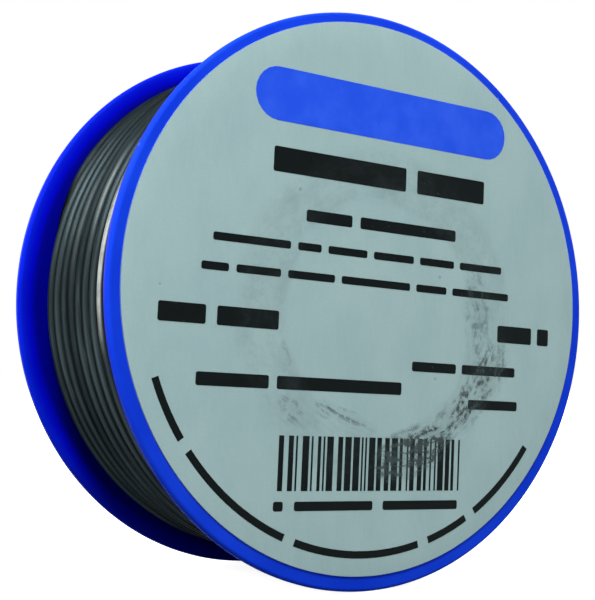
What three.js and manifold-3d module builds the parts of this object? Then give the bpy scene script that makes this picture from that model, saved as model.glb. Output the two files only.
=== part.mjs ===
// A small reel of soft solder wire, standing on the rims of its two flanges.
// Millimetres, +Z up. The reel's axis lies along Y, its labelled face looks along -Y,
// and the origin is on the surface that it stands on, below the middle of the reel.

import * as THREE from 'three';
import { mergeVertices } from 'three/addons/utils/BufferGeometryUtils.js';
import Module from 'manifold-3d';

// ---------------------------------------------------------------- driving dimensions

// the two flanges
const FLANGE_DIAMETER = 64;
const FLANGE_SPAN = 26;             // from one flange's outer face to the other's
const FLANGE_RIM_THICKNESS = 1.3;
const FLANGE_ROOT_THICKNESS = 1.7;  // at the barrel: the inner face has a slight draft
const RIM_ROUND = 0.45;             // radius on both edges of the rim
const ROOT_FILLET = 0.4;            // where flange and barrel meet

// the hollow hub between bore and barrel
const BORE_DIAMETER = 25;
const BORE_WALL = 1.3;
const HUB_POCKET = 2.75;            // hollow between the bore tube and the barrel
const BARREL_WALL = 2.2;
const HUB_END_WALL = 1.5;
const HUB_RING_HEIGHT = 0.4;        // the rear hub end stands proud, for stacking
const EDGE_BREAK = 0.25;            // chamfer on the bore's mouth and on the ring
const WEB_COUNT = 6;
const WEB_THICKNESS = 1.2;
const WEB_SETBACK = 4;              // from the joint between the halves

// the snap joint between the halves
const SOCKET_LIP = 1.0;             // wall left outside the socket
const SPIGOT_LENGTH = 3;
const BEAD_HEIGHT = 0.45;
const BEAD_LAND = 0.5;              // flat top of the bead
const BEAD_OFFSET = 0.9;            // from the joint to the foot of the bead
const JOINT_CLEARANCE = 0.3;

// the hole that holds the inner end of the wire while winding starts
const START_HOLE_DIAMETER = 3.2;
const START_HOLE_OFFSET = 0.4;      // from the barrel to the hole's edge
const START_HOLE_ANGLE = 40;        // degrees from the top, towards +X

// the wire
const WIRE_DIAMETER = 2.0;
const WINDING_DEPTH = 2.2;          // the rims stand this far above the winding
const WINDING_CLEARANCE = 0.3;
const STRAND_GAP = 0.45;            // kept open between neighbouring turns
const WINDING_START_ANGLE = 300;    // degrees from the top, towards +X

// the paper label over the whole front
const LABEL_MARGIN = 1.45;          // bare flange outside the label
const LABEL_SHIFT = [-0.13, 0.26];  // it is stuck on slightly off centre, in X and Z
const LABEL_THICKNESS = 0.2;

// facets
const ROUND_SEGMENTS = 72;          // a multiple of four, so a flat lies at the bottom
const EDGE_SEGMENTS = 2;
const HOLE_SEGMENTS = 16;
const STEPS_PER_TURN = 24;

// ---------------------------------------------------------------- derived sizes

const flangeRadius = FLANGE_DIAMETER / 2;
const halfSpan = FLANGE_SPAN / 2;
const boreRadius = BORE_DIAMETER / 2;
const boreTubeRadius = boreRadius + BORE_WALL;
const barrelInnerRadius = boreTubeRadius + HUB_POCKET;
const barrelRadius = barrelInnerRadius + BARREL_WALL;
const socketRadius = barrelRadius - SOCKET_LIP;
const spigotRadius = socketRadius - JOINT_CLEARANCE;
const labelRadius = flangeRadius - LABEL_MARGIN;

// the label and the hub ring stand proud of the flanges; the whole is centred on y = 0
const overallWidth = LABEL_THICKNESS + FLANGE_SPAN + HUB_RING_HEIGHT;
const frontFaceY = -overallWidth / 2 + LABEL_THICKNESS;
const rearFaceY = frontFaceY + FLANGE_SPAN;

// ---------------------------------------------------------------- solids and meshes

const wasm = await Module();
wasm.setup();

function closedGeometry(geometry) {
  const bare = geometry.clone();
  bare.deleteAttribute('normal');
  bare.deleteAttribute('uv');
  return mergeVertices(bare);
}

function toSolid(geometry) {
  const closed = closedGeometry(geometry);
  return new wasm.Manifold(new wasm.Mesh({
    numProp: 3,
    vertProperties: new Float32Array(closed.attributes.position.array),
    triVerts: new Uint32Array(closed.index.array),
  }));
}

function toGeometry(solid) {
  const mesh = solid.getMesh();
  const geometry = new THREE.BufferGeometry();
  geometry.setAttribute('position', new THREE.BufferAttribute(mesh.vertProperties, 3));
  geometry.setIndex(new THREE.BufferAttribute(mesh.triVerts, 1));
  return geometry;
}

// Revolves an outline of [radius, y] pairs about the reel's axis. Radii are measured to
// the middle of the facets, one of which is centred at the bottom.
function revolve(outline) {
  const toCorner = 1 / Math.cos(Math.PI / ROUND_SEGMENTS);
  const points = outline.map(([radius, y]) => new THREE.Vector2(radius * toCorner, y));
  return new THREE.LatheGeometry(points, ROUND_SEGMENTS, Math.PI / ROUND_SEGMENTS);
}

// A rounded corner, from one angle to another in degrees, as outline points.
function corner(centreRadius, centreY, radius, fromAngle, toAngle) {
  const points = [];
  for (let i = 0; i <= EDGE_SEGMENTS; i += 1) {
    const angle = THREE.MathUtils.degToRad(
      THREE.MathUtils.lerp(fromAngle, toAngle, i / EDGE_SEGMENTS));
    points.push([
      centreRadius + radius * Math.cos(angle),
      centreY + radius * Math.sin(angle),
    ]);
  }
  return points;
}

// ---------------------------------------------------------------- the two spool halves

// How deep the flange's inner face lies at a radius, measured from its outer face.
function flangeDepth(radius) {
  const outer = flangeRadius - RIM_ROUND;
  const inner = barrelRadius + ROOT_FILLET;
  return THREE.MathUtils.mapLinear(
    radius, outer, inner, FLANGE_RIM_THICKNESS, FLANGE_ROOT_THICKNESS);
}

// The socket in the front half's barrel end, with the groove that takes the bead.
function socketOutline() {
  const slack = JOINT_CLEARANCE * (Math.SQRT2 - 1);
  const foot = halfSpan - BEAD_OFFSET + slack;
  const top = foot - BEAD_HEIGHT;
  const farTop = top - BEAD_LAND - 2 * slack;
  const farFoot = farTop - BEAD_HEIGHT;
  const floor = halfSpan - SPIGOT_LENGTH - JOINT_CLEARANCE;
  return [
    [socketRadius, halfSpan],
    [socketRadius, foot],
    [socketRadius + BEAD_HEIGHT, top],
    [socketRadius + BEAD_HEIGHT, farTop],
    [socketRadius, farFoot],
    [socketRadius, floor],
    [barrelInnerRadius, floor],
  ];
}

// The spigot on the rear half's barrel end, with its snap bead.
function spigotOutline() {
  const foot = halfSpan + BEAD_OFFSET;
  const top = foot + BEAD_HEIGHT;
  const farTop = top + BEAD_LAND;
  const farFoot = farTop + BEAD_HEIGHT;
  return [
    [spigotRadius, halfSpan],
    [spigotRadius, foot],
    [spigotRadius + BEAD_HEIGHT, top],
    [spigotRadius + BEAD_HEIGHT, farTop],
    [spigotRadius, farFoot],
    [spigotRadius, halfSpan + SPIGOT_LENGTH],
    [barrelInnerRadius, halfSpan + SPIGOT_LENGTH],
  ];
}

// Outline of one half as [radius, depth], the depth counted from the flange's outer face.
function halfOutline(ringOutline, jointOutline) {
  const rimCentre = flangeRadius - RIM_ROUND;
  const rootCentre = barrelRadius + ROOT_FILLET;
  const rootDepth = flangeDepth(rootCentre) + ROOT_FILLET;
  return [
    ...ringOutline,
    ...corner(rimCentre, RIM_ROUND, RIM_ROUND, -90, 0),
    ...corner(rimCentre, FLANGE_RIM_THICKNESS - RIM_ROUND, RIM_ROUND, 0, 90),
    ...corner(rootCentre, rootDepth, ROOT_FILLET, 270, 180),
    [barrelRadius, halfSpan],
    ...jointOutline,
    [barrelInnerRadius, HUB_END_WALL],
    [boreTubeRadius, HUB_END_WALL],
    [boreTubeRadius, halfSpan],
    [boreRadius + EDGE_BREAK, halfSpan],
    [boreRadius, halfSpan - EDGE_BREAK],
    [boreRadius, ringOutline[0][1] + EDGE_BREAK],
    ringOutline[0],
  ];
}

const plainFace = [[boreRadius + EDGE_BREAK, 0]];

const raisedRing = [
  [boreRadius + EDGE_BREAK, -HUB_RING_HEIGHT],
  [barrelRadius - EDGE_BREAK, -HUB_RING_HEIGHT],
  [barrelRadius, -HUB_RING_HEIGHT + EDGE_BREAK],
  [barrelRadius, 0],
];

// The radial webs that tie the bore tube to the barrel inside one half.
function webSolids(depthToY) {
  const innerRadius = boreRadius + BORE_WALL / 2;
  const outerRadius = barrelInnerRadius + (BARREL_WALL - SOCKET_LIP) / 3;
  const nearY = depthToY(HUB_END_WALL / 2);
  const farY = depthToY(halfSpan - WEB_SETBACK);
  const webs = [];
  for (let i = 0; i < WEB_COUNT; i += 1) {
    const web = new THREE.BoxGeometry(
      WEB_THICKNESS, Math.abs(farY - nearY), outerRadius - innerRadius);
    web.translate(0, (nearY + farY) / 2, (innerRadius + outerRadius) / 2);
    web.rotateY((i * 2 * Math.PI) / WEB_COUNT);
    webs.push(toSolid(web));
  }
  return webs;
}

function frontHalf() {
  const depthToY = (depth) => frontFaceY + depth;
  const outline = halfOutline(plainFace, socketOutline());
  let solid = toSolid(revolve(outline.map(([radius, depth]) => [radius, depthToY(depth)])));
  for (const web of webSolids(depthToY)) {
    solid = solid.add(web);
  }
  return toGeometry(solid);
}

// A straight hole through the rear flange, close to the barrel.
function startHole() {
  const length = 4 * FLANGE_ROOT_THICKNESS;
  const radius = START_HOLE_DIAMETER / 2;
  const distance = barrelRadius + START_HOLE_OFFSET + radius;
  const angle = THREE.MathUtils.degToRad(START_HOLE_ANGLE);
  const hole = new THREE.CylinderGeometry(radius, radius, length, HOLE_SEGMENTS);
  hole.translate(distance * Math.sin(angle), rearFaceY, distance * Math.cos(angle));
  return toSolid(hole);
}

function rearHalf() {
  const depthToY = (depth) => rearFaceY - depth;
  const outline = halfOutline(raisedRing, spigotOutline()).reverse();
  let solid = toSolid(revolve(outline.map(([radius, depth]) => [radius, depthToY(depth)])));
  for (const web of webSolids(depthToY)) {
    solid = solid.add(web);
  }
  return toGeometry(solid.subtract(startHole()));
}

// ---------------------------------------------------------------- the wire

const wireRadius = WIRE_DIAMETER / 2;
const windingRadius = flangeRadius - WINDING_DEPTH;
const layerRadius = windingRadius - wireRadius;     // of the outer layer's centre line
const strandWidth = WIRE_DIAMETER - STRAND_GAP;     // along the reel's axis

// The centre line of the outer layer: turns side by side from the rear flange to the
// front one, one wire diameter apart, with a short straight run at each cut end.
function layerRoute() {
  const inset = flangeDepth(layerRadius - wireRadius) + WINDING_CLEARANCE + strandWidth / 2;
  const startY = rearFaceY - inset;
  const endY = frontFaceY + inset;
  const turns = (startY - endY) / WIRE_DIAMETER;
  const startAngle = THREE.MathUtils.degToRad(WINDING_START_ANGLE);
  const stepAngle = (2 * Math.PI) / STEPS_PER_TURN;
  const totalAngle = turns * 2 * Math.PI;
  const stations = [];
  for (let i = 0; i * stepAngle < totalAngle; i += 1) {
    stations.push(i * stepAngle);
  }
  stations.push(totalAngle);
  const route = stations.map((turned) => {
    const angle = startAngle + turned;
    const outward = new THREE.Vector3(Math.sin(angle), 0, Math.cos(angle));
    const along = new THREE.Vector3(Math.cos(angle), 0, -Math.sin(angle));
    const centre = outward.clone().multiplyScalar(layerRadius);
    centre.y = startY - (turned / (2 * Math.PI)) * WIRE_DIAMETER;
    return { centre, outward, along };
  });
  const straightEnd = (station, distance) => ({
    ...station,
    centre: station.centre.clone().addScaledVector(station.along, distance),
  });
  route.unshift(straightEnd(route[0], -WIRE_DIAMETER));
  route.push(straightEnd(route[route.length - 1], WIRE_DIAMETER));
  return route;
}

// The strand's section: six sides, with a flat towards each neighbouring turn.
const strandSection = [
  [wireRadius, 0],
  [wireRadius / 2, strandWidth / 2],
  [-wireRadius / 2, strandWidth / 2],
  [-wireRadius, 0],
  [-wireRadius / 2, -strandWidth / 2],
  [wireRadius / 2, -strandWidth / 2],
];

// The least distance between points of the strand that lie half a turn or more apart.
function leastSelfGap(rings) {
  const apart = STEPS_PER_TURN / 2;
  let least = Infinity;
  for (let i = 0; i < rings.length; i += 1) {
    for (let j = i + apart; j < rings.length; j += 1) {
      for (const a of rings[i]) {
        for (const b of rings[j]) {
          least = Math.min(least, a.distanceTo(b));
        }
      }
    }
  }
  return least;
}

function outerLayer() {
  const sides = strandSection.length;
  const rings = layerRoute().map(({ centre, outward }) => strandSection.map(
    ([out, across]) => centre.clone()
      .addScaledVector(outward, out)
      .add(new THREE.Vector3(0, across, 0))));
  console.log(`outer layer: least gap between turns ${leastSelfGap(rings).toFixed(3)} mm`);
  const index = [];
  for (let ring = 0; ring + 1 < rings.length; ring += 1) {
    for (let side = 0; side < sides; side += 1) {
      const a = ring * sides + side;
      const b = ring * sides + ((side + 1) % sides);
      index.push(a, a + sides, b, b, a + sides, b + sides);
    }
  }
  const last = (rings.length - 1) * sides;
  for (let side = 1; side + 1 < sides; side += 1) {
    index.push(0, side, side + 1);
    index.push(last, last + side + 1, last + side);
  }
  const geometry = new THREE.BufferGeometry();
  const coordinates = rings.flat().flatMap((point) => point.toArray());
  geometry.setAttribute('position', new THREE.Float32BufferAttribute(coordinates, 3));
  geometry.setIndex(index);
  return geometry;
}

// The layers below it, as one ring round the barrel that follows the flanges' draft.
function innerLayers() {
  const flatness = Math.cos(Math.PI / STEPS_PER_TURN);
  const outerRadius = layerRadius * flatness - wireRadius - WINDING_CLEARANCE;
  const innerRadius = barrelRadius + WINDING_CLEARANCE;
  const innerInset = flangeDepth(innerRadius) + ROOT_FILLET + WINDING_CLEARANCE;
  const outerInset = flangeDepth(outerRadius) + WINDING_CLEARANCE;
  const filletTop = innerRadius + ROOT_FILLET;
  const filletInset = flangeDepth(filletTop) + WINDING_CLEARANCE;
  const outline = [
    [innerRadius, frontFaceY + innerInset],
    [filletTop, frontFaceY + filletInset],
    [outerRadius, frontFaceY + outerInset],
    [outerRadius, rearFaceY - outerInset],
    [filletTop, rearFaceY - filletInset],
    [innerRadius, rearFaceY - innerInset],
    [innerRadius, frontFaceY + innerInset],
  ];
  return closedGeometry(revolve(outline));
}

// ---------------------------------------------------------------- the label

function frontLabel() {
  const [shiftX, shiftZ] = LABEL_SHIFT;
  const disc = closedGeometry(revolve([
    [0, frontFaceY - LABEL_THICKNESS],
    [labelRadius, frontFaceY - LABEL_THICKNESS],
    [labelRadius, frontFaceY],
    [0, frontFaceY],
  ]));
  return disc.translate(shiftX, 0, shiftZ);
}

// ---------------------------------------------------------------- the assembly

const bluePlastic = { color: 0x1440e8, roughness: 0.35, metalness: 0.0 };
const tinLeadWire = { color: 0x4a5354, roughness: 0.38, metalness: 0.9 };
const greyPaper = { color: 0x9ab3b7, roughness: 0.6, metalness: 0.0 };

const reel = new THREE.Group();
reel.position.z = flangeRadius;

function addPart(name, geometry, look) {
  const part = new THREE.Mesh(geometry, new THREE.MeshStandardMaterial(look));
  part.name = name;
  reel.add(part);
}

addPart('front_spool_half', frontHalf(), bluePlastic);
addPart('rear_spool_half', rearHalf(), bluePlastic);
addPart('wire_inner_layers', innerLayers(), tinLeadWire);
addPart('wire_outer_layer', outerLayer(), tinLeadWire);
addPart('front_label', frontLabel(), greyPaper);

const group = new THREE.Group();
group.add(reel);

export default group;
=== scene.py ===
"""The looks of a small reel of solder wire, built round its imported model.

Metres, +Z up. The reel's axis lies along Y and its labelled face looks along -Y.
Angles round the axis are in degrees and counted from the top towards +X.
"""

import math
import random

import bpy
import bmesh
from mathutils import Matrix, Vector


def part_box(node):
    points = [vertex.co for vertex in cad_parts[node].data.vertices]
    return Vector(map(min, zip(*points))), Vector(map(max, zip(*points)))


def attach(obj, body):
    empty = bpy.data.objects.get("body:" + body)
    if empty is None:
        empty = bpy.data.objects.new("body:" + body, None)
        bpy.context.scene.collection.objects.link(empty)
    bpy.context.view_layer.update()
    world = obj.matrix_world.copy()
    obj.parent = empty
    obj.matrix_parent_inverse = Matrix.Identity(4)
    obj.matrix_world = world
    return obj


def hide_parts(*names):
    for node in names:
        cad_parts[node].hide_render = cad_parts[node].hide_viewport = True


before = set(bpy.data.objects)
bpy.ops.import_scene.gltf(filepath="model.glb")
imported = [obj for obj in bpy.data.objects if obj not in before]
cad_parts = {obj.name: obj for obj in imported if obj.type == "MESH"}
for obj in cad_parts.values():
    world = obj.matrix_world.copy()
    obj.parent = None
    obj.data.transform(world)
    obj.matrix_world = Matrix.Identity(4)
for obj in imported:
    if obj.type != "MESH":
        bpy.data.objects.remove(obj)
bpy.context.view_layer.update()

MM = 0.001

# ---------------------------------------------------------------- sizes

front_low, front_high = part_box("front_spool_half")
_, rear_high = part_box("rear_spool_half")
label_low, label_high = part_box("front_label")
strand_low, strand_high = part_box("wire_outer_layer")

# read from the imported model's parts
FLANGE_RADIUS = (front_high.x - front_low.x) / 2
AXIS_Z = (front_high.z + front_low.z) / 2
FRONT_Y = front_low.y
JOINT_Y = front_high.y
HALF_SPAN = JOINT_Y - FRONT_Y
REAR_Y = JOINT_Y + HALF_SPAN
RING_HEIGHT = rear_high.y - REAR_Y
LABEL_RADIUS = (label_high.x - label_low.x) / 2
LABEL_X = (label_high.x + label_low.x) / 2
LABEL_Z = (label_high.z + label_low.z) / 2
WINDING_RADIUS = (strand_high.z - strand_low.z) / 2

# the spool, as the model's source has it
RIM_THICKNESS = 1.3 * MM
ROOT_THICKNESS = 1.7 * MM
RIM_ROUND = 0.45 * MM
ROOT_FILLET = 0.4 * MM
BORE_RADIUS = 12.5 * MM
BORE_WALL = 1.3 * MM
BARREL_INNER_RADIUS = 16.55 * MM
BARREL_RADIUS = 18.75 * MM
HUB_END_WALL = 1.5 * MM
EDGE_BREAK = 0.25 * MM
START_HOLE_RADIUS = 1.6 * MM
START_HOLE_OFFSET = 0.4 * MM  # from the barrel to the hole's edge
START_HOLE_DISTANCE = BARREL_RADIUS + START_HOLE_OFFSET + START_HOLE_RADIUS
START_HOLE_ANGLE = 40

# the wire
WIRE_RADIUS = 1.0 * MM
WINDING_START_ANGLE = 300
FLUX_RADIUS = 0.3 * MM
LAYER_RADIUS = WINDING_RADIUS - WIRE_RADIUS

# how finely round shapes are divided
ROUND_SEGMENTS = 288
EDGE_SEGMENTS = 6
STRAND_SIDES = 20
FLUX_SIDES = 24
HOLE_SIDES = 48
SHARP_ANGLE = 35              # edges that turn by more degrees than this stay sharp


# ---------------------------------------------------------------- mesh helpers

def add_object(name, vertices, faces, sharp_angle=SHARP_ANGLE):
    """A mesh object with outward faces, smooth but for edges over the angle."""
    mesh = bpy.data.meshes.new(name)
    mesh.from_pydata([tuple(vertex) for vertex in vertices], [], faces)
    work = bmesh.new()
    work.from_mesh(mesh)
    bmesh.ops.recalc_face_normals(work, faces=work.faces)
    work.to_mesh(mesh)
    work.free()
    mesh.shade_smooth()
    mesh.set_sharp_from_angle(angle=math.radians(sharp_angle))
    shape = bpy.data.objects.new(name, mesh)
    bpy.context.scene.collection.objects.link(shape)
    return shape


def at_angle(radius, y, degrees):
    """A point round the reel's axis."""
    angle = math.radians(degrees)
    return Vector((radius * math.sin(angle), y, AXIS_Z + radius * math.cos(angle)))


def corner(first, second, radius, start, end):
    """Outline points on an arc round the point (first, second), whose two angles are
    degrees from the first direction towards the second."""
    points = []
    for i in range(EDGE_SEGMENTS + 1):
        angle = math.radians(start + (end - start) * i / EDGE_SEGMENTS)
        points.append((first + radius * math.cos(angle),
                       second + radius * math.sin(angle)))
    return points


def turned_faces(count, edges):
    """Faces between copies of an outline of count points that go once round an axis.

    An edge of the outline takes part if its first point is in edges.
    """
    faces = []
    for i in range(ROUND_SEGMENTS):
        here = i * count
        there = ((i + 1) % ROUND_SEGMENTS) * count
        for j in edges:
            k = (j + 1) % count
            faces.append((here + j, there + j, there + k, here + k))
    return faces


def revolve(name, outline, sharp_angle=SHARP_ANGLE):
    """A solid of revolution from a closed outline of (radius, y) points."""
    vertices = []
    for i in range(ROUND_SEGMENTS):
        degrees = 360 * i / ROUND_SEGMENTS
        vertices += [at_angle(radius, y, degrees) for radius, y in outline]
    faces = turned_faces(len(outline), range(len(outline)))
    return add_object(name, vertices, faces, sharp_angle)


def circle(centre, radius, first, second, sides):
    """Points of a circle in the plane of two directions."""
    points = []
    for i in range(sides):
        angle = 2 * math.pi * i / sides
        points.append(centre + radius * (first * math.cos(angle)
                                         + second * math.sin(angle)))
    return points


def tube_faces(rings, sides, start=0):
    """Faces of a tube through a row of rings of points, with both its ends closed."""
    faces = []
    for i in range(rings - 1):
        for side in range(sides):
            a = start + i * sides + side
            b = start + i * sides + (side + 1) % sides
            faces.append((a, b, b + sides, a + sides))
    for end in (start, start + (rings - 1) * sides):
        faces.append(tuple(range(end, end + sides)))
    return faces


def settle(piece, slot, *nodes):
    """The piece rides with the reel and stands for CAD nodes, which it hides; the slot is
    not used.
    """
    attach(piece, "root")
    if nodes:
        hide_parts(*nodes)
    return piece


# ---------------------------------------------------------------- shader helpers

class Shader:
    """A new material with a Principled surface, and short ways to add nodes to it."""

    def __init__(self, name):
        self.material = bpy.data.materials.new(name)
        self.material.use_nodes = True
        self.nodes = self.material.node_tree.nodes
        self.links = self.material.node_tree.links
        self.surface = self.nodes["Principled BSDF"]
        self.place = self.nodes.new("ShaderNodeTexCoord").outputs["Object"]

    def put(self, socket, value):
        """Gives a socket a constant, or links another node's output to it."""
        if isinstance(value, bpy.types.NodeSocket):
            self.links.new(value, socket)
        else:
            socket.default_value = value

    def math(self, operation, first, second=0.0, clamp=False):
        node = self.nodes.new("ShaderNodeMath")
        node.operation = operation
        node.use_clamp = clamp
        self.put(node.inputs[0], first)
        self.put(node.inputs[1], second)
        return node.outputs[0]

    def plus(self, first, second):
        return self.math("ADD", first, second)

    def minus(self, first, second):
        return self.math("SUBTRACT", first, second)

    def times(self, first, second):
        return self.math("MULTIPLY", first, second)

    def squares(self, first, second):
        """The sum of two squares."""
        return self.plus(self.times(first, first), self.times(second, second))

    def split(self, vector):
        node = self.nodes.new("ShaderNodeSeparateXYZ")
        self.put(node.inputs[0], vector)
        return node.outputs

    def noise(self, vector, scale, detail, roughness=0.5):
        """Noise with about so many blobs a metre, and finer ones within them."""
        node = self.nodes.new("ShaderNodeTexNoise")
        self.put(node.inputs["Vector"], vector)
        node.inputs["Scale"].default_value = scale
        node.inputs["Detail"].default_value = detail
        node.inputs["Roughness"].default_value = roughness
        return node.outputs["Fac"]

    def stretched_noise(self, parts, scales, detail, roughness=0.5):
        """Noise over three values, each with a scale of its own."""
        node = self.nodes.new("ShaderNodeCombineXYZ")
        for socket, part, scale in zip(node.inputs, parts, scales):
            self.put(socket, self.times(part, scale))
        return self.noise(node.outputs[0], 1.0, detail, roughness)

    def specks(self, scale, size, strength):
        """Small round spots of a given strength, one in each cell, and 0 between them."""
        node = self.nodes.new("ShaderNodeTexVoronoi")
        self.put(node.inputs["Vector"], self.place)
        node.inputs["Scale"].default_value = scale
        inside = self.math("LESS_THAN", node.outputs["Distance"], size)
        return self.times(inside, strength)

    def band(self, value, low, high, result_low=0.0, result_high=1.0):
        """Maps low..high smoothly to the results, held beyond them."""
        node = self.nodes.new("ShaderNodeMapRange")
        node.interpolation_type = "SMOOTHSTEP"
        self.put(node.inputs["Value"], value)
        for name, number in (("From Min", low), ("From Max", high),
                             ("To Min", result_low), ("To Max", result_high)):
            self.put(node.inputs[name], number)
        return node.outputs["Result"]

    def mix(self, share, first, second):
        """The first colour, with a share of the second."""
        node = self.nodes.new("ShaderNodeMix")
        node.data_type = "RGBA"
        self.put(node.inputs["Factor"], share)
        self.put(node.inputs["A"], first)
        self.put(node.inputs["B"], second)
        return node.outputs["Result"]

    def bump(self, height, distance, strength):
        node = self.nodes.new("ShaderNodeBump")
        node.inputs["Distance"].default_value = distance
        node.inputs["Strength"].default_value = strength
        self.put(node.inputs["Height"], height)
        self.put(self.surface.inputs["Normal"], node.outputs[0])

    def polar(self):
        """Radius from the reel's axis, and the angle round it from -pi to pi."""
        x, _, z = self.split(self.place)
        up = self.minus(z, AXIS_Z)
        return self.math("SQRT", self.squares(x, up)), self.math("ARCTAN2", x, up)

    def finish(self, colour, roughness, **constants):
        """Sets the surface's colour, roughness and constants, and gives the material."""
        self.put(self.surface.inputs["Base Color"], colour)
        self.put(self.surface.inputs["Roughness"], roughness)
        for name, number in constants.items():
            self.surface.inputs[name.replace("_", " ")].default_value = number
        return self.material


def srgb(red, green, blue):
    """A colour written as 0..255 values, as the shader's linear colour."""
    def linear(value):
        share = value / 255
        return share / 12.92 if share <= 0.04045 else ((share + 0.055) / 1.055) ** 2.4
    return (linear(red), linear(green), linear(blue), 1.0)


# ---------------------------------------------------------------- colours

# Where there are two, a noise mixes them.
# The inner blues are the plastic in painted shade, the outer blues the same plastic in
# painted light.
SHADED_INNER_BLUES = srgb(0, 3, 188), srgb(0, 6, 206)
LIT_OUTER_BLUES = srgb(14, 55, 208), srgb(22, 66, 222)
# Painted shade on the plastic beside the winding.
PAINTED_SHADE_BLUE = srgb(0, 1, 100)
PLASTIC_DUST = srgb(110, 130, 220)

WIRE_CROWNS = srgb(31, 39, 41), srgb(47, 57, 60)
# Painted shade in the grooves between the turns.
WIRE_GROOVE_SHADE = srgb(12, 16, 17)
WIRE_DRAW_LINE = srgb(68, 79, 80)
WIRE_PIT = srgb(16, 20, 21)
# Painted highlight along the crests of some turns.
WIRE_PAINTED_GLEAM = srgb(128, 138, 136)
# Painted highlight streaks on some turns.
WIRE_PAINTED_HIGHLIGHT = srgb(172, 176, 172)
# Painted shade on the winding's underside.
WIRE_UNDERSIDE_SHADE = srgb(3, 4, 4)
WIRE_EDGE_TINT = (0.25, 0.25, 0.25, 1)
FLUX_AMBERS = srgb(150, 96, 30), srgb(206, 150, 70)

PAPER_GREYS = srgb(145, 173, 175), srgb(152, 179, 180)
PAPER_FIBRE = srgb(166, 190, 188)
PAPER_GRAIN = srgb(128, 156, 158)
PAPER_SPECK = srgb(70, 86, 92)
PAPER_SMUDGE = srgb(26, 34, 36)
CUT_EDGE_BLUES = srgb(78, 104, 150), srgb(100, 126, 168)

BLACK_INKS = srgb(3, 8, 9), srgb(9, 17, 19)
BLUE_INKS = srgb(34, 80, 224), srgb(52, 98, 236)
WORN_INK = srgb(120, 146, 152)
SMUDGED_INK = srgb(84, 100, 100)


# ---------------------------------------------------------------- materials

# Painted shade on the plastic beside the winding: how wide it is, and how strong.
PAINTED_SHADE_WIDTH = 1.1 * MM
PAINTED_SHADE_SHARE = 0.75

# Painted glow at the thin rims: their share of the lit blue, rising between two radii.
RIM_GLOW_START = FLANGE_RADIUS - 1.3 * MM
RIM_GLOW_END = FLANGE_RADIUS - 0.1 * MM
FRONT_RIM_GLOW, REAR_RIM_GLOW = 0.42, 0.22

# How far below the outer faces their lit blue is still full.
LIT_BLUE_DEPTH = 0.3 * MM

# How deep the small relief of each surface is.
PLASTIC_RELIEF = 0.012 * MM
WIRE_RELIEF = 0.01 * MM
PAPER_RELIEF = 0.01 * MM


def blue_plastic():
    """Moulded polypropylene: satin, cloudy, a little scuffed, with sparse dust.

    Painted light makes the outer faces paler and the thin rims glow, most at the front;
    painted shade makes the inner faces a deeper blue, deepest beside the winding.
    """
    s = Shader("blue_plastic")
    radius, angle = s.polar()
    _, y, _ = s.split(s.place)
    cloud = s.noise(s.place, 90, 4, 0.55)
    cloudy = s.band(cloud, 0.3, 0.7)
    grain = s.noise(s.place, 2600, 2, 0.6)
    scuffs = s.stretched_noise((radius, angle, y), (2200, 3.5, 2200), 3, 0.7)

    # Painted shade: the plastic darkens towards the winding.
    beside = s.band(radius, WINDING_RADIUS, WINDING_RADIUS + PAINTED_SHADE_WIDTH,
                    PAINTED_SHADE_SHARE, 0.0)
    # The inner faces take the blue in painted shade, the outer faces the blue in painted
    # light.
    inner = s.mix(beside, s.mix(cloudy, *SHADED_INNER_BLUES), PAINTED_SHADE_BLUE)
    outer = s.mix(cloudy, *LIT_OUTER_BLUES)
    from_joint = s.math("ABSOLUTE", s.minus(y, JOINT_Y))
    outside = s.band(from_joint, HALF_SPAN - RIM_THICKNESS, HALF_SPAN - LIT_BLUE_DEPTH)
    # Painted glow of light through the thin rims, stronger at the front.
    rim = s.times(s.band(y, FRONT_Y, REAR_Y, FRONT_RIM_GLOW, REAR_RIM_GLOW),
                  s.band(radius, RIM_GLOW_START, RIM_GLOW_END))
    colour = s.mix(s.math("MAXIMUM", outside, rim), inner, outer)
    colour = s.mix(s.specks(210, 0.035, 0.45), colour, PLASTIC_DUST)

    roughness = s.plus(s.band(scuffs, 0.35, 0.75, 0.0, 0.12),
                       s.band(cloud, 0.3, 0.7, 0.44, 0.54))
    s.bump(s.plus(s.times(grain, 0.6), s.times(scuffs, 0.5)), PLASTIC_RELIEF, 0.6)
    return s.finish(colour, roughness, IOR=1.49, Specular_IOR_Level=0.02)


# Painted highlights on turns on the reel's left, where the light catches them: where
# each lies, the angles where it starts, is brightest and ends, and how bright it is.
PAINTED_HIGHLIGHT_TURNS = (
    (-5.65 * MM, 256, 274, 308, 1.0),
    (-1.9 * MM, 280, 293, 308, 0.22),
    (2.1 * MM, 266, 289, 302, 0.1),
    (8.0 * MM, 286, 297, 308, 0.07),
)
HIGHLIGHT_WIDTH, HIGHLIGHT_FADE = 0.5 * MM, 0.85 * MM   # to each side of a turn's middle

# Heights between which painted shade darkens the winding towards its underside.
UNDERSIDE_DARK, UNDERSIDE_CLEAR = 17 * MM, 29 * MM


def crest(s, radius, low, high):
    """Rises from 0 to 1 between two heights on the outer turns, in wire radii."""
    return s.band(radius, LAYER_RADIUS + low * WIRE_RADIUS,
                  LAYER_RADIUS + high * WIRE_RADIUS)


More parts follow.
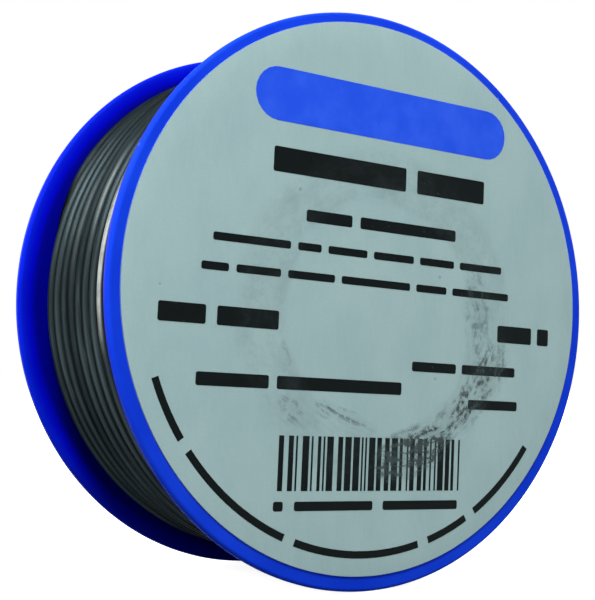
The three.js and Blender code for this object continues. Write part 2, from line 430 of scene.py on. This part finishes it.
def painted_highlight_turns(s, radius, y, angle):
    """How strong the painted highlight is at each place, 0 to 1."""
    patchy = s.band(s.noise(s.place, 700, 3, 0.6), 0.25, 0.6, 0.55, 1.0)
    # rubbed holds the painted highlight, strongest where each listed turn is brightest.
    rubbed = 0.0
    for place, *angles, most in PAINTED_HIGHLIGHT_TURNS:
        start, peak, end = (math.radians(degrees - 360) for degrees in angles)
        away = s.math("ABSOLUTE", s.minus(y, place))
        turn = s.band(away, HIGHLIGHT_WIDTH, HIGHLIGHT_FADE, most, 0.0)
        ends = s.times(s.band(angle, start, peak), s.band(angle, peak, end, 1.0, 0.0))
        rubbed = s.math("MAXIMUM", rubbed, s.times(turn, ends))
    return s.times(s.times(crest(s, radius, 0.8, 0.96), patchy), rubbed)


def solder_metal():
    """Drawn tin-lead wire: dull grey-green, with painted shade in the grooves between its
    turns and on the winding's underside, painted highlights on some turns, and draw lines
    along it."""
    s = Shader("solder_metal")
    radius, angle = s.polar()
    _, y, z = s.split(s.place)
    drawn = s.stretched_noise((radius, y, angle), (3000, 3000, 6), 3, 0.6)
    turns = s.stretched_noise((0.0, y, angle), (0.0, 620, 0.9), 2)
    grain = s.noise(s.place, 1500, 3, 0.6)

    # Painted shade: the colour darkens to the groove shade between the turns.
    ridge = crest(s, radius, 0.58, 0.98)
    crown = s.mix(s.band(turns, 0.35, 0.65), *WIRE_CROWNS)
    colour = s.mix(ridge, WIRE_GROOVE_SHADE, crown)
    colour = s.mix(s.band(drawn, 0.5, 0.8, 0.0, 0.35), colour, WIRE_DRAW_LINE)
    colour = s.mix(s.band(grain, 0.6, 0.8, 0.0, 0.35), colour, WIRE_PIT)
    # A painted highlight along the crests of some turns.
    painted_gleam = s.times(crest(s, radius, 0.88, 0.98), s.band(turns, 0.48, 0.6, 0.0, 0.08))
    colour = s.mix(painted_gleam, colour, WIRE_PAINTED_GLEAM)
    # Painted highlights on the turns listed above.
    colour = s.mix(painted_highlight_turns(s, radius, y, angle), colour, WIRE_PAINTED_HIGHLIGHT)
    # Painted shade on the winding's underside, stronger in the grooves.
    under = s.times(s.band(z, UNDERSIDE_DARK, UNDERSIDE_CLEAR, 1.0, 0.0),
                    s.band(ridge, 0.0, 0.8, 0.9, 0.35))
    colour = s.mix(under, colour, WIRE_UNDERSIDE_SHADE)

    roughness = s.plus(s.band(drawn, 0.3, 0.7, 0.0, 0.1),
                       s.band(turns, 0.38, 0.62, 0.48, 0.34))
    s.bump(s.plus(drawn, s.times(grain, 0.4)), WIRE_RELIEF, 0.5)
    return s.finish(colour, roughness, Metallic=0.9, Specular_IOR_Level=0.04,
                    Specular_Tint=WIRE_EDGE_TINT)


def flux_resin():
    """The amber rosin that fills the wire's core, seen on its cut end."""
    s = Shader("flux_resin")
    cloud = s.noise(s.place, 4000, 2)
    colour = s.mix(cloud, *FLUX_AMBERS)
    return s.finish(colour, s.band(cloud, 0.3, 0.7, 0.15, 0.3), IOR=1.53)


# The ring that a neighbouring reel's hub has rubbed on the label, centred a little off
# the label's middle, and how far its edges wander.
SMUDGE_CENTRE = (1.1 * MM, -2.2 * MM)
SMUDGE_INNER = 12.8 * MM
SMUDGE_OUTER = 18.9 * MM
SMUDGE_WANDER = 2 * MM
SMUDGE_RING_DARKNESS = 0.09
SMUDGE_LEAST, SMUDGE_MOST = 0.02, 0.16      # of the grey veil over the whole ring
STROKE_ORIGIN = 30 * MM       # how far left of the centre the strokes' angles start

# The ring's darker marks: degrees above +X from the ring's centre, distance, half
# length, half width, darkness.
SMUDGE_MARKS = (
    (2, 13.8 * MM, 7.5 * MM, 2.4 * MM, 0.45),
    (-20, 17.0 * MM, 4.2 * MM, 3.0 * MM, 0.7),
    (-35, 15.8 * MM, 4.4 * MM, 2.8 * MM, 0.65),
    (-52, 15.2 * MM, 6.0 * MM, 2.2 * MM, 0.75),
    (-75, 15.6 * MM, 6.6 * MM, 3.2 * MM, 1.7),
    (-112, 12.0 * MM, 4.4 * MM, 1.1 * MM, 0.7),
    (-128, 12.6 * MM, 1.6 * MM, 1.3 * MM, 0.8),
    (-140, 15.6 * MM, 2.4 * MM, 1.3 * MM, 0.45),
    (-161, 13.3 * MM, 2.8 * MM, 0.5 * MM, 0.2),
)


def smudge_mark(s, right, up, degrees, distance, half_length, half_width, darkness):
    """A dark spot, longest along the ring, that fades out from its middle."""
    cosine, sine = math.cos(math.radians(degrees)), math.sin(math.radians(degrees))
    along = s.minus(s.times(up, cosine / half_length), s.times(right, sine / half_length))
    outward = s.plus(s.times(right, cosine / half_width), s.times(up, sine / half_width))
    outward = s.minus(outward, distance / half_width)
    return s.band(s.squares(along, outward), 0.0, 1.0, darkness, 0.0)


def smudge_strokes(s, right, up, radius):
    """The fine strokes along the ring and the flecks that the marks are made of."""
    angle = s.math("ARCTAN2", up, s.plus(right, STROKE_ORIGIN))
    streaks = s.stretched_noise((radius, angle, 0.0), (1500, 22, 0.0), 4, 0.7)
    flecks = s.noise(s.place, 1300, 4, 0.7)
    return s.times(s.band(streaks, 0.4, 0.62), s.band(flecks, 0.38, 0.58))


def smudge(s):
    """How dirty the label is at each place, 0 to 1."""
    x, _, z = s.split(s.place)
    right = s.minus(x, LABEL_X + SMUDGE_CENTRE[0])
    up = s.minus(z, LABEL_Z + SMUDGE_CENTRE[1])
    wander = s.times(s.minus(s.noise(s.place, 160, 2), 0.5), SMUDGE_WANDER)
    radius = s.plus(wander, s.math("SQRT", s.squares(right, up)))
    inside = s.band(radius, SMUDGE_INNER - 0.5 * MM, SMUDGE_INNER + 0.6 * MM)
    outside = s.band(radius, SMUDGE_OUTER - 1.6 * MM, SMUDGE_OUTER + 0.6 * MM, 1.0, 0.0)
    ring = s.times(inside, outside)
    patches = s.noise(s.place, 230, 3, 0.65)
    veil = s.times(ring, s.band(patches, 0.4, 0.7, SMUDGE_LEAST, SMUDGE_MOST))
    dark = s.times(ring, SMUDGE_RING_DARKNESS)
    for mark in SMUDGE_MARKS:
        dark = s.plus(dark, smudge_mark(s, right, up, *mark))
    strokes = s.plus(smudge_strokes(s, right, up, radius), 0.12)
    return s.math("ADD", s.times(dark, strokes), veil, clamp=True)


def label_paper():
    """Coated grey paper with a faint upright grain, and the rubbed ring."""
    s = Shader("label_paper")
    place = s.split(s.place)
    fibres = s.stretched_noise(place, (2600, 2600, 500), 3, 0.6)
    tone = s.stretched_noise(place, (200, 200, 120), 3, 0.6)
    grain = s.noise(s.place, 4200, 3, 0.7)
    colour = s.mix(s.band(tone, 0.3, 0.7), *PAPER_GREYS)
    colour = s.mix(s.band(fibres, 0.35, 0.75, 0.0, 0.16), colour, PAPER_FIBRE)
    colour = s.mix(s.band(grain, 0.4, 0.7, 0.0, 0.16), colour, PAPER_GRAIN)
    colour = s.mix(s.specks(150, 0.03, 0.35), colour, PAPER_SPECK)
    colour = s.mix(s.times(smudge(s), 0.92), colour, PAPER_SMUDGE)
    roughness = s.band(fibres, 0.3, 0.7, 0.46, 0.58)
    s.bump(s.plus(s.times(fibres, 0.5), grain), PAPER_RELIEF, 0.5)
    return s.finish(colour, roughness, IOR=1.45, Specular_IOR_Level=0.3)


def cut_paper():
    """The label's cut edge, where the paper's core shows."""
    s = Shader("cut_paper")
    fibres = s.noise(s.place, 6000, 3, 0.6)
    colour = s.mix(fibres, *CUT_EDGE_BLUES)
    return s.finish(colour, s.band(fibres, 0.3, 0.7, 0.7, 0.85))


def ink(name, thick, thin):
    """Print on the label, a little thinner here and there, greyed where it is rubbed."""
    s = Shader(name)
    wear = s.noise(s.place, 1400, 4, 0.7)
    cloud = s.noise(s.place, 240, 3, 0.6)
    colour = s.mix(s.band(cloud, 0.35, 0.7, 0.0, 0.6), thick, thin)
    colour = s.mix(s.band(wear, 0.66, 0.8, 0.0, 0.35), colour, WORN_INK)
    colour = s.mix(s.times(smudge(s), 0.5), colour, SMUDGED_INK)
    return s.finish(colour, s.band(cloud, 0.3, 0.7, 0.5, 0.62), Specular_IOR_Level=0.05)


# ---------------------------------------------------------------- the two halves

def flange_depth(radius):
    """How deep a flange's inner face lies below its outer face at a radius."""
    outer = FLANGE_RADIUS - RIM_ROUND
    inner = BARREL_RADIUS + ROOT_FILLET
    share = (radius - outer) / (inner - outer)
    return RIM_THICKNESS + share * (ROOT_THICKNESS - RIM_THICKNESS)


def half_outline(mouth):
    """One half's outline as (radius, depth), from the given points round its mouth."""
    rim = FLANGE_RADIUS - RIM_ROUND
    root = BARREL_RADIUS + ROOT_FILLET
    root_depth = flange_depth(root) + ROOT_FILLET
    tube = BORE_RADIUS + BORE_WALL
    return [
        *mouth,
        *corner(rim, RIM_ROUND, RIM_ROUND, -90, 0),
        *corner(rim, RIM_THICKNESS - RIM_ROUND, RIM_ROUND, 0, 90),
        *corner(root, root_depth, ROOT_FILLET, 270, 180),
        (BARREL_RADIUS, HALF_SPAN),
        (BARREL_INNER_RADIUS, HALF_SPAN),
        (BARREL_INNER_RADIUS, HUB_END_WALL),
        (tube, HUB_END_WALL),
        (tube, HALF_SPAN),
        (BORE_RADIUS + EDGE_BREAK, HALF_SPAN),
        (BORE_RADIUS, HALF_SPAN - EDGE_BREAK),
        (BORE_RADIUS, mouth[0][1] + EDGE_BREAK),
    ]


def make_front_half(plastic):
    """The half under the label, whose outer face is flat from bore to rim."""
    outline = half_outline([(BORE_RADIUS + EDGE_BREAK, 0.0)])
    half = revolve("front_half", [(radius, FRONT_Y + depth) for radius, depth in outline])
    half.data.materials.append(plastic)
    return settle(half, "blue_plastic", "front_spool_half")


def make_rear_half(plastic):
    """The half with the raised ring round its bore and the hole for the wire's end."""
    ring = BARREL_RADIUS
    mouth = [
        (BORE_RADIUS + EDGE_BREAK, -RING_HEIGHT),
        (ring - EDGE_BREAK, -RING_HEIGHT),
        (ring, -RING_HEIGHT + EDGE_BREAK),
        (ring, 0.0),
    ]
    outline = half_outline(mouth)
    half = revolve("rear_half", [(radius, REAR_Y - depth) for radius, depth in outline])
    half.data.materials.append(plastic)
    drill_start_hole(half)
    return settle(half, "blue_plastic", "rear_spool_half")


def drill_start_hole(half):
    """Cuts the hole that held the wire's inner end through the rear flange."""
    half_length = 2 * ROOT_THICKNESS
    vertices = []
    for y in (REAR_Y - half_length, REAR_Y + half_length):
        centre = at_angle(START_HOLE_DISTANCE, y, START_HOLE_ANGLE)
        vertices += circle(centre, START_HOLE_RADIUS, Vector((1, 0, 0)),
                           Vector((0, 0, 1)), HOLE_SIDES)
    drill = add_object("start_hole_drill", vertices, tube_faces(2, HOLE_SIDES))
    cut = half.modifiers.new("start_hole", "BOOLEAN")
    cut.operation = "DIFFERENCE"
    cut.solver = "EXACT"
    cut.object = drill
    graph = bpy.context.evaluated_depsgraph_get()
    drilled = bpy.data.meshes.new_from_object(half.evaluated_get(graph))
    half.modifiers.clear()
    half.data = drilled
    half.data.set_sharp_from_angle(angle=math.radians(SHARP_ANGLE))
    bpy.data.objects.remove(drill)


# ---------------------------------------------------------------- the wire

LAYER_RISE = 2.0 * WIRE_RADIUS
PITCH = 1.97 * WIRE_RADIUS
FLANGE_THICKNESS = (RIM_THICKNESS + ROOT_THICKNESS) / 2
INSET = FLANGE_THICKNESS + 1.03 * WIRE_RADIUS
FIRST_Y = REAR_Y - INSET
LAST_Y = FRONT_Y + INSET
FIRST_TURN_EXTRA = 0.4 * MM   # the first turn leaves the rear flange a little faster
TURNS = (FIRST_Y - LAST_Y - FIRST_TURN_EXTRA) / PITCH
LOWER_TURNS = TURNS - 0.2

# degrees that the strand has turned since the outer layer's start
CLIMB_START, CLIMB_END = -45, 8     # where the strand climbs onto the outer layer
FIRST_TURN_END = 330
TURNED_STEP = 2.0
LIFT_SPAN = 26                # how long the lifted end is
LIFT = 0.4 * MM               # how far the cut end springs off the winding

# the strand's slight waves, to and from the axis and to its sides
WAVE_CYCLES = (0.37, 0.83, 1.71, 2.9, 5.3)
RADIUS_WAVE, RADIUS_SEED = 0.03 * MM, 3
SIDE_WAVE, SIDE_SEED = 0.035 * MM, 8

# the broken edge at each end of the strand: its length and the end face's radius
END_LENGTH = 0.06 * MM
END_RADIUS = 0.93 * WIRE_RADIUS

# the dome of flux in the end face: rings of (share of the height, share of the radius)
FLUX_LEVELS = ((0.0, 1.0), (0.5, 0.85), (0.9, 0.5))
FLUX_HEIGHT = 0.08 * MM
FLUX_SINK = 0.03 * MM

# the ring that stands for the deeper layers
INNER_CLEARANCE = 0.05 * MM
RIB_STEPS = 8
RIB_DEPTH = 0.8 * WIRE_RADIUS


def smooth(share):
    share = min(max(share, 0.0), 1.0)
    return share * share * (3 - 2 * share)


def wave(turned, seed):
    """A slow irregular wave, mostly between -1 and 1, along the strand."""
    draw = random.Random(seed)
    total = 0.0
    for cycles in WAVE_CYCLES:
        total += math.sin(math.radians(turned) * cycles + draw.uniform(0, 2 * math.pi))
    return total / 3


def strand_point(turned):
    """Radius and y of the strand's centre line; the layer below the outer one has
    negative degrees."""
    low = smooth((CLIMB_END - turned) / (CLIMB_END - CLIMB_START))
    radius = LAYER_RADIUS - LAYER_RISE * low
    left = TURNS * 360 - turned
    radius += LIFT * smooth(1 - left / LIFT_SPAN)
    radius += RADIUS_WAVE * wave(turned, RADIUS_SEED)
    across = abs(turned - CLIMB_START) if turned < CLIMB_START else max(turned, 0.0)
    y = FIRST_Y - PITCH * across / 360
    y -= FIRST_TURN_EXTRA * smooth(turned / FIRST_TURN_END)
    y += SIDE_WAVE * wave(turned, SIDE_SEED)
    return radius, min(max(y, LAST_Y), FIRST_Y)


def strand_ring(turned):
    """Centre, outward direction and radius of the strand's section at one place."""
    radius, y = strand_point(turned)
    angle = WINDING_START_ANGLE + turned
    outward = at_angle(1, 0, angle) - Vector((0, 0, AXIS_Z))
    return at_angle(radius, y, angle), outward.normalized(), WIRE_RADIUS


def end_ring(end, inner):
    """The smaller ring beyond an end of the strand, away from the ring inside it."""
    along = (end[0] - inner[0]).normalized()
    return end[0] + along * END_LENGTH, end[1], END_RADIUS


def make_strand(metal):
    """The outer layer and the one below it, as one unbroken wire.

    Gives the centre, the direction and the outward direction of its free end's face.
    """
    rings = []
    turned = -LOWER_TURNS * 360
    while turned < TURNS * 360:
        rings.append(strand_ring(turned))
        turned += TURNED_STEP
    rings.append(strand_ring(TURNS * 360))
    rings = [end_ring(rings[0], rings[1]), *rings, end_ring(rings[-1], rings[-2])]
    vertices = []
    for centre, outward, radius in rings:
        vertices += circle(centre, radius, outward, Vector((0, 1, 0)), STRAND_SIDES)
    faces = tube_faces(len(rings), STRAND_SIDES)
    strand = add_object("solder_strand", vertices, faces, sharp_angle=50)
    strand.data.materials.append(metal)
    settle(strand, "solder", "wire_outer_layer")
    return rings[-1][0], (rings[-1][0] - rings[-3][0]).normalized(), rings[-1][1]


def make_flux_core(resin, centre, along, outward):
    """A slightly domed spot of flux in the middle of the free end's cut face."""
    across = along.cross(outward)
    vertices = []
    for height, width in FLUX_LEVELS:
        middle = centre + along * (height * FLUX_HEIGHT - FLUX_SINK)
        vertices += circle(middle, FLUX_RADIUS * width, outward, across, FLUX_SIDES)
    faces = tube_faces(len(FLUX_LEVELS), FLUX_SIDES)
    core = add_object("flux_core_end", vertices, faces, sharp_angle=60)
    core.data.materials.append(resin)
    return settle(core, "solder")


def make_inner_layers(metal):
    """The deeper layers as a ribbed ring, one rib for each turn of the wire."""
    top = LAYER_RADIUS - LAYER_RISE - WIRE_RADIUS - INNER_CLEARANCE
    bottom = BARREL_RADIUS + INNER_CLEARANCE
    inset = flange_depth(BARREL_RADIUS) + ROOT_FILLET
    low_y = FRONT_Y + inset
    high_y = REAR_Y - inset
    ribs = int((high_y - low_y) / (2 * WIRE_RADIUS))
    width = (high_y - low_y) / ribs
    outline = [(bottom, high_y), (bottom, low_y)]
    for rib in range(ribs):
        for i in range(1 if rib else 0, RIB_STEPS + 1):
            angle = math.pi * i / RIB_STEPS
            y = low_y + width * (rib + 0.5 - 0.5 * math.cos(angle))
            outline.append((top - RIB_DEPTH * (1 - math.sin(angle)), y))
    ring = revolve("inner_layers", outline, sharp_angle=60)
    ring.data.materials.append(metal)
    return settle(ring, "solder", "wire_inner_layers")


# ---------------------------------------------------------------- the label

LABEL_EDGE_ROUND = 0.05 * MM
LABEL_MIDDLE_RADIUS = 0.5 * MM              # of the one round face in its middle
LABEL_RINGS = (0.3, 0.6, 0.9)               # shares of its radius where faces meet
INK_THICKNESS = 0.02 * MM
PRINT_TILT = -3               # degrees; the print leans down to the right


def make_label(paper, edge):
    """A thin disc of paper with a soft cut edge."""
    front, back = label_low.y, label_high.y
    outline = [(LABEL_MIDDLE_RADIUS, back), (LABEL_MIDDLE_RADIUS, front)]
    outline += [(LABEL_RADIUS * share, front) for share in LABEL_RINGS]
    outline += corner(LABEL_RADIUS - LABEL_EDGE_ROUND, front + LABEL_EDGE_ROUND,
                      LABEL_EDGE_ROUND, -90, 0)
    outline.append((LABEL_RADIUS, back))
    count = len(outline)
    vertices = []
    for i in range(ROUND_SEGMENTS):
        angle = 2 * math.pi * i / ROUND_SEGMENTS
        vertices += [(LABEL_X + radius * math.sin(angle), y,
                      LABEL_Z + radius * math.cos(angle)) for radius, y in outline]
    faces = turned_faces(count, range(1, count))
    for j in (0, 1):
        faces.append(tuple(i * count + j for i in range(ROUND_SEGMENTS)))
    label = add_object("label", vertices, faces)
    label.data.materials.append(paper)
    label.data.materials.append(edge)
    for polygon in label.data.polygons:
        from_axis = math.hypot(polygon.center.x - LABEL_X, polygon.center.z - LABEL_Z)
        if from_axis > LABEL_RADIUS - 0.7 * LABEL_EDGE_ROUND:
            polygon.material_index = 1
    return settle(label, "label_paper", "front_label")


class Print:
    """Flat printed shapes, collected into one thin mesh.

    Their sizes are millimetres to the right of and above the label's centre.
    """

    def __init__(self):
        self.vertices = []
        self.faces = []

    def add(self, outline):
        """A filled convex outline of (right, up) points."""
        tilt = Matrix.Rotation(math.radians(PRINT_TILT), 2)
        start = len(self.vertices)
        for y in (label_low.y - INK_THICKNESS, label_low.y + INK_THICKNESS / 2):
            for right, up in outline:
                turned = tilt @ Vector((right * MM, up * MM))
                self.vertices.append((LABEL_X + turned.x, y, LABEL_Z + turned.y))
        self.faces += tube_faces(2, len(outline), start)

    def bar(self, left, right, middle, height, rounding=0.25):
        """A level bar with round corners, less round where there is less room."""
        radius = min(rounding, (right - left) / 2, height / 2)
        low, high = middle - height / 2 + radius, middle + height / 2 - radius
        outline = []
        for corner_x, corner_z, start in ((right - radius, high, 0),
                                          (left + radius, high, 90),
                                          (left + radius, low, 180),
                                          (right - radius, low, 270)):
            outline += corner(corner_x, corner_z, radius, start, start + 90)
        self.add(outline)

    def line(self, left, middle, height, words, gap):
        """A row of bars that stands for a line of words, given their widths."""
        for width in words:
            self.bar(left, left + width, middle, height)
            left += width + gap

    def arc(self, radius, start, end, height):
        """A bar bent round the label's centre, between two angles above +X."""
        pieces = math.ceil((end - start) / ARC_STEP)
        inner, outer = radius - height / 2, radius + height / 2
        for i in range(pieces):
            a = math.radians(start + (end - start) * i / pieces)
            b = math.radians(start + (end - start) * (i + 1) / pieces)
            self.add([(inner * math.cos(a), inner * math.sin(a)),
                      (inner * math.cos(b), inner * math.sin(b)),
                      (outer * math.cos(b), outer * math.sin(b)),
                      (outer * math.cos(a), outer * math.sin(a))])

    def make(self, name, material):
        shape = add_object(name, self.vertices, self.faces, sharp_angle=30)
        shape.data.materials.append(material)
        return settle(shape, "label_paper")


# The blue band: left and right end, the middle's height, its own height, its rounding.
PRINT_BAND = (-16.4, 18.4, 20.6, 5.8, 2.9)

# The lines of bars: left end, middle's height, bar height, widths of the words, gap.
PRINT_LINES = (
    (-13.8, 13.6, 2.7, (17.6, 10.0), 1.6),
    (-9.4, 8.0, 1.3, (6.0, 13.6), 1.1),
    (-20.6, 4.6, 0.85, (9.4, 3.0, 5.2, 5.6, 5.0, 6.4), 0.9),
    (-21.8, 1.5, 0.85, (3.2, 5.4, 6.0, 9.4, 4.4, 8.6), 0.9),
    (-26.4, -3.5, 2.0, (5.4, 7.4), 1.3),
    (18.2, -2.9, 2.0, (5.4, 1.8), 1.0),
    (-21.8, -10.0, 1.4, (8.6, 16.4), 1.0),
    (5.6, -7.4, 1.1, (6.4, 8.2), 0.9),
    (14.0, -11.4, 1.1, (7.6,), 0.9),
    (-12.0, -22.9, 1.0, (1.2, 10.2, 10.6), 1.4),
)

# The pattern of upright bars, whose widths and gaps are drawn at random.
PATTERN_SEED = 11
PATTERN_LEFT, PATTERN_RIGHT = -11.6, 12.8
PATTERN_MIDDLE, PATTERN_HEIGHT = -18.4, 5.8
PATTERN_WIDTHS = (0.22, 0.22, 0.4, 0.62, 0.84)
PATTERN_GAPS = (0.26, 0.3, 0.46, 0.6)
PATTERN_ROUNDING = 0.02

# The bent bars along the label's lower edge; their angles are degrees above +X.
ARC_RADIUS, ARC_HEIGHT = 28.2, 0.8
ARC_START, ARC_GAP = 201, 3
ARC_SWEEPS = (14, 30, 34, 12, 22)
ARC_STEP = 2                  # of each straight piece that a bar is made of


def make_print(black, blue):
    """Plain bands and bars, laid out as a label's heading, lines and bar pattern."""
    band = Print()
    band.bar(*PRINT_BAND)
    band.make("label_print_blue", blue)

    dark = Print()
    for line in PRINT_LINES:
        dark.line(*line)

    draw = random.Random(PATTERN_SEED)
    left = PATTERN_LEFT
    while left < PATTERN_RIGHT:
        width = draw.choice(PATTERN_WIDTHS)
        dark.bar(left, left + width, PATTERN_MIDDLE, PATTERN_HEIGHT, PATTERN_ROUNDING)
        left += width + draw.choice(PATTERN_GAPS)

    angle = ARC_START
    for sweep in ARC_SWEEPS:
        dark.arc(ARC_RADIUS, angle, angle + sweep, ARC_HEIGHT)
        angle += sweep + ARC_GAP
    dark.make("label_print_black", black)


# ---------------------------------------------------------------- stage

# Camera, glossy and transmission rays see the floor and the surrounding as white. The
# rays that light the reel meet a dark floor and a dim surrounding.
FLOOR_SEEN_ALBEDO = 0.6       # how the floor shows the lamps' light, and the shadow
FLOOR_OWN_LIGHT = 0.91        # added to that
FLOOR_BOUNCE_ALBEDO = 0.08    # what the floor throws back on the reel
FLOOR_HALF = 3.0
SURROUND_SEEN = 1.0
SURROUND_LEVEL = 0.15

LAMP_TARGET = Vector((0, 0, 0.032))

# name, place, width and height, power in watts
LAMPS = (
    ("front_lamp", (0.02, -1.0, 0.16), (0.4, 0.4), 2.3),
    ("upper_lamp", (-0.15, -0.19, 0.31), (0.12, 0.12), 1.5),
    ("back_card", (-0.126, 0.77, 0.19), (0.09, 0.24), 1.1),
    ("rear_lamp", (0.55, 0.45, 0.65), (0.4, 0.4), 8.0),
    ("side_lamp", (0.7, -0.06, 0.35), (0.3, 0.3), 2.0),
    ("left_lamp", (-0.34, 0.03, 0.3), (0.18, 0.18), 1.8),
)

# The photograph's view: from the reel's left, low down, looking up a little.
CAMERA_PLACE = Vector((-79.36, -121.03, 24.67)) * MM
CAMERA_HEADING = 32.675       # degrees from +Y towards +X
CAMERA_PITCH = 3.106          # degrees upwards
CAMERA_LENS = 72.41           # millimetres, as the sensor's width
CAMERA_SENSOR = 36
CAMERA_NEAREST = 0.005


def seeing_rays(nodes, links):
    """A socket that is 1 for camera, glossy and transmission rays and 0 for others."""
    rays = nodes.new("ShaderNodeLightPath").outputs
    seen = rays["Is Camera Ray"]
    for name in ("Is Glossy Ray", "Is Transmission Ray"):
        either = nodes.new("ShaderNodeMath")
        either.operation = "MAXIMUM"
        links.new(seen, either.inputs[0])
        links.new(rays[name], either.inputs[1])
        seen = either.outputs[0]
    return seen


def make_floor():
    """A pale matt floor that is seen as white outside the reel's shadow."""
    half = FLOOR_HALF
    corners = [(-half, -half, 0), (half, -half, 0), (half, half, 0), (-half, half, 0)]
    floor = add_object("floor", corners, [(0, 1, 2, 3)])
    s = Shader("pale_floor")
    seen = seeing_rays(s.nodes, s.links)
    low, high = FLOOR_BOUNCE_ALBEDO, FLOOR_SEEN_ALBEDO
    matt = s.nodes.new("ShaderNodeBsdfDiffuse")
    s.put(matt.inputs["Color"], s.mix(seen, (low, low, low, 1), (high, high, high, 1)))
    glow = s.nodes.new("ShaderNodeEmission")
    s.put(glow.inputs["Strength"], s.times(seen, FLOOR_OWN_LIGHT))
    both = s.nodes.new("ShaderNodeAddShader")
    s.put(both.inputs[0], matt.outputs[0])
    s.put(both.inputs[1], glow.outputs[0])
    s.put(s.nodes["Material Output"].inputs["Surface"], both.outputs[0])
    s.nodes.remove(s.surface)
    floor.data.materials.append(s.material)


def make_world():
    """An even dim surrounding that is seen as white."""
    world = bpy.data.worlds.new("studio")
    bpy.context.scene.world = world
    world.use_nodes = True
    nodes, links = world.node_tree.nodes, world.node_tree.links
    level = nodes.new("ShaderNodeMix")
    links.new(seeing_rays(nodes, links), level.inputs["Factor"])
    level.inputs["A"].default_value = SURROUND_LEVEL
    level.inputs["B"].default_value = SURROUND_SEEN
    background = nodes["Background"]
    background.inputs["Color"].default_value = (1, 1, 1, 1)
    links.new(level.outputs["Result"], background.inputs["Strength"])


def make_lamp(name, place, size, power):
    """A rectangular lamp that shines at the reel's middle."""
    data = bpy.data.lights.new(name, "AREA")
    data.shape = "RECTANGLE"
    data.size, data.size_y = size
    data.energy = power
    lamp = bpy.data.objects.new(name, data)
    lamp.location = place
    aim = LAMP_TARGET - Vector(place)
    lamp.rotation_euler = aim.to_track_quat("-Z", "Y").to_euler()
    bpy.context.scene.collection.objects.link(lamp)


def make_camera():
    data = bpy.data.cameras.new("camera")
    data.lens = CAMERA_LENS
    data.sensor_width = CAMERA_SENSOR
    data.clip_start = CAMERA_NEAREST
    camera = bpy.data.objects.new("camera", data)
    camera.location = CAMERA_PLACE
    camera.rotation_euler = (math.radians(90 + CAMERA_PITCH), 0,
                             math.radians(-CAMERA_HEADING))
    bpy.context.scene.collection.objects.link(camera)
    bpy.context.scene.camera = camera


# ---------------------------------------------------------------- the scene

make_camera()
make_world()
make_floor()
for lamp in LAMPS:
    make_lamp(*lamp)

plastic = blue_plastic()
metal = solder_metal()
make_front_half(plastic)
make_rear_half(plastic)
make_inner_layers(metal)
make_flux_core(flux_resin(), *make_strand(metal))
make_label(label_paper(), cut_paper())
make_print(ink("black_ink", *BLACK_INKS), ink("blue_ink", *BLUE_INKS))

bpy.context.scene.view_settings.view_transform = "Standard"
